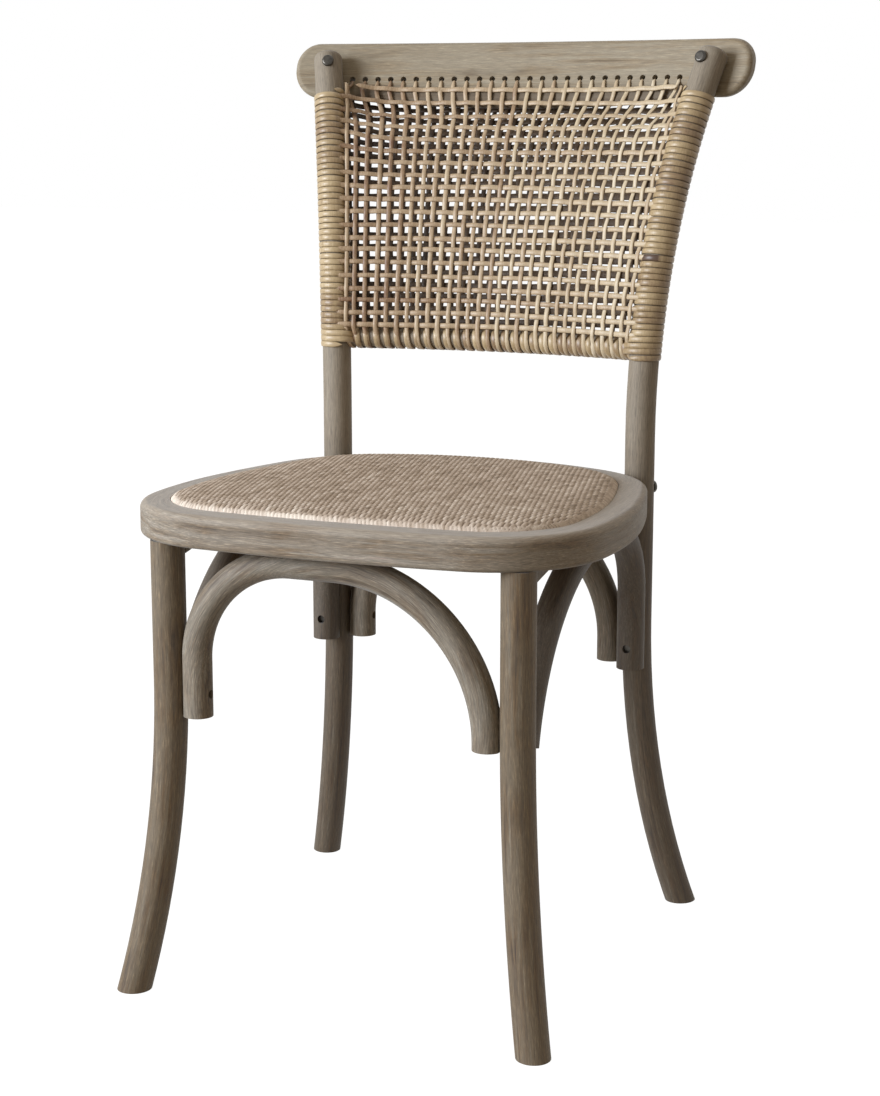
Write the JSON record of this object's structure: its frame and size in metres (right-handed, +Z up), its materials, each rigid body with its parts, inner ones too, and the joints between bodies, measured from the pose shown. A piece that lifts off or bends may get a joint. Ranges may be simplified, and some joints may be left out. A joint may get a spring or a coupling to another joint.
{
  "type": "side chair",
  "caption": "Bentwood side chair with a rattan back woven in two layers, wrapped posts, woven crowned seat and arched braces.",
  "frame": {"origin": "on the floor, in the middle of the chair's outline", "axes": "+Z up, the sitter faces -Y, +X to the right as seen by someone who stands in front of the chair"},
  "size_m": [0.505, 0.5433, 0.893],
  "materials": {
    "frame_wood": "weathered grey-brown oak-like hardwood, limed, matt, fine open grain",
    "panel_plywood": "plain birch plywood",
    "panel_padding": "upholstery foam",
    "seat_rattan": "fine woven split rattan over padding, natural tan",
    "back_rattan": "open plain weave of oval rattan reed, natural tan",
    "wrap_rattan": "glossy split rattan skin wound tight, honey tan",
    "dark_steel": "blackened steel"
  },
  "bodies": {
    "root": {"seat_ring": "frame_wood", "front_leg_left": "frame_wood", "front_leg_right": "frame_wood", "back_post_left": "frame_wood", "back_post_right": "frame_wood", "crest_rail": "frame_wood", "lower_back_rail": "frame_wood", "front_arch": "frame_wood", "rear_arch": "frame_wood", "left_arch": "frame_wood", "right_arch": "frame_wood", "corner_block_left": "frame_wood", "corner_block_right": "frame_wood", "seat_board": "panel_plywood", "seat_padding": "panel_padding", "seat_weave": "seat_rattan", "front_weave": "back_rattan", "rear_weave": "back_rattan", "post_wrap_lower_left": "wrap_rattan", "post_wrap_lower_right": "wrap_rattan", "post_wrap_upper_left": "wrap_rattan", "post_wrap_upper_right": "wrap_rattan", "rail_wrap_left": "wrap_rattan", "rail_wrap_middle": "wrap_rattan", "rail_wrap_right": "wrap_rattan", "crest_bolt_left": "dark_steel", "crest_bolt_right": "dark_steel", "crest_nut_left": "dark_steel", "crest_nut_right": "dark_steel", "seat_bolt_left": "dark_steel", "seat_bolt_right": "dark_steel", "barrel_nut_left": "dark_steel", "barrel_nut_right": "dark_steel", "arch_end_screws": "dark_steel", "arch_top_screws": "dark_steel", "seat_board_screws": "dark_steel", "corner_block_screws": "dark_steel"}
  },
  "joints": []
}
